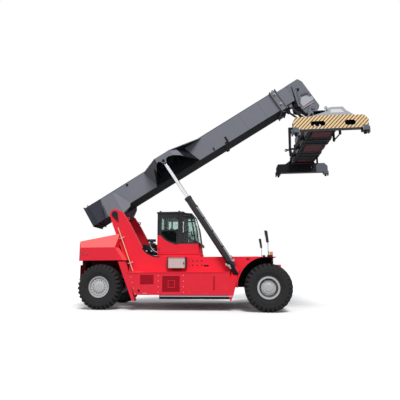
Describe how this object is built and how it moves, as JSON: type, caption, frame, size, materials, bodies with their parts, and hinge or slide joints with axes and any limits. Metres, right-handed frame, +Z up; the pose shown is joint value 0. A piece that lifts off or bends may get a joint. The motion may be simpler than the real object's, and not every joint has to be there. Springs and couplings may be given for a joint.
{
  "type": "reach stacker",
  "caption": "Container handler with a luffing telescopic boom over a four-wheel chassis, a side-window cab and a telescopic top-lift spreader.",
  "frame": {"origin": "on the ground under the middle of the overall length and width, parked", "axes": "+X forward, +Y to the machine's left, +Z up"},
  "size_m": [10.8338, 6.1, 9.2965],
  "materials": {
    "machine_red": "gloss paint",
    "boom_grey": "semi-gloss paint",
    "head_grey": "semi-gloss paint",
    "end_beam_cream": "paint with dark diagonal stripes",
    "dark_steel": "satin",
    "cylinder_grey": "semi-gloss paint",
    "rod_chrome": "polished",
    "cab_grey": "satin paint",
    "tinted_glass": "tinted",
    "cab_plastic": "matte",
    "rail_beige": "satin",
    "cabinet_grey": "satin",
    "rim_silver": "satin paint",
    "stand_silver": "satin",
    "lamp_amber": "clear moulded",
    "tyre": "matte"
  },
  "bodies": {
    "chassis": {"chassis_frame": "machine_red", "deck": "machine_red", "drive_axle": "dark_steel", "steer_axle": "dark_steel", "side_frame_left": "machine_red", "side_frame_right": "machine_red", "side_box_left": "machine_red", "side_box_right": "machine_red", "running_boards": "dark_steel", "front_fenders": "machine_red", "counterweight": "machine_red", "engine_block": "cylinder_grey", "air_intake": "cylinder_grey", "electric_cabinet": "cabinet_grey", "handrails": "rail_beige", "mirrors_and_lamps": "stand_silver", "mirror_heads": "cab_plastic", "marker_lamps": "lamp_amber", "pin_covers": "dark_steel", "cab_base": "machine_red", "cab_frame": "cab_grey", "cab_glass": "tinted_glass", "operator_seat": "cab_plastic", "control_console": "cab_plastic"},
    "steer_right": {"knuckle_right": "dark_steel"},
    "steer_left": {"knuckle_left": "dark_steel"},
    "wheel_front_right": {"tyre_front_right": "tyre", "rim_front_right": "rim_silver"},
    "wheel_front_left": {"tyre_front_left": "tyre", "rim_front_left": "rim_silver"},
    "wheel_rear_right": {"tyre_rear_right": "tyre", "rim_rear_right": "rim_silver"},
    "wheel_rear_left": {"tyre_rear_left": "tyre", "rim_rear_left": "rim_silver"},
    "door_right": {"cab_door_right": "cab_grey", "door_skirt_right": "machine_red", "door_glass_right": "tinted_glass"},
    "door_left": {"cab_door_left": "cab_grey", "door_skirt_left": "machine_red", "door_glass_left": "tinted_glass"},
    "boom": {"boom_outer": "boom_grey", "cylinder_yoke": "boom_grey"},
    "inner_boom": {"boom_inner": "boom_grey", "boom_head": "head_grey", "damper_barrels": "cylinder_grey"},
    "tilt": {"tilt_frame": "boom_grey"},
    "rotator": {"rotator": "boom_grey"},
    "spreader": {"spreader_frame": "boom_grey"},
    "end_right": {"telescopic_beam_right": "boom_grey", "end_beam_right": "end_beam_cream", "twistlocks_right": "dark_steel"},
    "end_left": {"telescopic_beam_left": "boom_grey", "end_beam_left": "end_beam_cream", "twistlocks_left": "dark_steel"},
    "lift_barrels": {"lift_barrels": "cylinder_grey"},
    "lift_rods": {"lift_rods": "rod_chrome"},
    "damper_rods": {"damper_rods": "rod_chrome"}
  },
  "joints": [
    {"name": "boom_lift", "type": "hinge", "parent": "chassis", "child": "boom", "pos_m": [-3.90238, 0, 3.64], "axis": [0, -1, 0], "range_deg": [-31, 29]},
    {"name": "boom_extend", "type": "slide", "parent": "boom", "child": "inner_boom", "axis": [-0.8572, 0, -0.515], "range_m": [-6.8, 0]},
    {"name": "spreader_tilt", "type": "hinge", "parent": "inner_boom", "child": "tilt", "pos_m": [4.14744, 0, 7.96], "axis": [0, 1, 0], "range_deg": [-31, 29]},
    {"name": "spreader_rotate", "type": "hinge", "parent": "tilt", "child": "rotator", "pos_m": [4.14744, 0, 7.16], "axis": [0, 0, 1], "range_deg": [-95, 185]},
    {"name": "side_shift", "type": "slide", "parent": "rotator", "child": "spreader", "axis": [0, 1, 0], "range_m": [-0.8, 0.8]},
    {"name": "telescope_right", "type": "slide", "parent": "spreader", "child": "end_right", "axis": [0, -1, 0], "range_m": [0, 3.085]},
    {"name": "telescope_left", "type": "slide", "parent": "spreader", "child": "end_left", "axis": [0, 1, 0], "range_m": [0, 3.085]},
    {"name": "lift_barrel_swing", "type": "hinge", "parent": "chassis", "child": "lift_barrels", "pos_m": [0.86262, 0, 1.41], "axis": [0, -1, 0], "range_deg": [-4.08, 3.83]},
    {"name": "lift_rod_slide", "type": "slide", "parent": "lift_barrels", "child": "lift_rods", "axis": [-0.5401, 0, 0.8416], "range_m": [-1.59, 1.488]},
    {"name": "damper_rod_slide", "type": "slide", "parent": "inner_boom", "child": "damper_rods", "axis": [0.7744, 0, -0.6326], "range_m": [-0.209, 0.223]},
    {"name": "steer_right", "type": "hinge", "parent": "chassis", "child": "steer_right", "pos_m": [-4.20238, -1.06, 0.83], "axis": [0, 0, 1], "range_deg": [-50, 50]},
    {"name": "steer_left", "type": "hinge", "parent": "chassis", "child": "steer_left", "pos_m": [-4.20238, 1.06, 0.83], "axis": [0, 0, 1], "range_deg": [-50, 50]},
    {"name": "wheel_front_right_spin", "type": "hinge", "parent": "chassis", "child": "wheel_front_right", "pos_m": [1.99762, 0, 0.83], "axis": [0, 1, 0], "continuous": true},
    {"name": "wheel_rear_right_spin", "type": "hinge", "parent": "steer_right", "child": "wheel_rear_right", "pos_m": [-4.20238, 0, 0.83], "axis": [0, 1, 0], "continuous": true},
    {"name": "door_right_hinge", "type": "hinge", "parent": "chassis", "child": "door_right", "pos_m": [-2.13838, -0.766, 2.05], "axis": [0, 0, -1], "range_deg": [0, 90]},
    {"name": "wheel_front_left_spin", "type": "hinge", "parent": "chassis", "child": "wheel_front_left", "pos_m": [1.99762, 0, 0.83], "axis": [0, 1, 0], "continuous": true},
    {"name": "wheel_rear_left_spin", "type": "hinge", "parent": "steer_left", "child": "wheel_rear_left", "pos_m": [-4.20238, 0, 0.83], "axis": [0, 1, 0], "continuous": true},
    {"name": "door_left_hinge", "type": "hinge", "parent": "chassis", "child": "door_left", "pos_m": [-2.13838, 0.766, 2.05], "axis": [0, 0, 1], "range_deg": [0, 90]}
  ],
  "couplings": [
    {"joint": "steer_left", "follows": "steer_right", "ratio": 1},
    {"joint": "telescope_left", "follows": "telescope_right", "ratio": 1},
    {"joint": "lift_barrel_swing", "follows": "boom_lift", "ratio": 0.125},
    {"joint": "lift_rod_slide", "follows": "boom_lift", "m_per_rad": 2.92},
    {"joint": "damper_rod_slide", "follows": "spreader_tilt", "m_per_rad": -0.403}
  ]
}
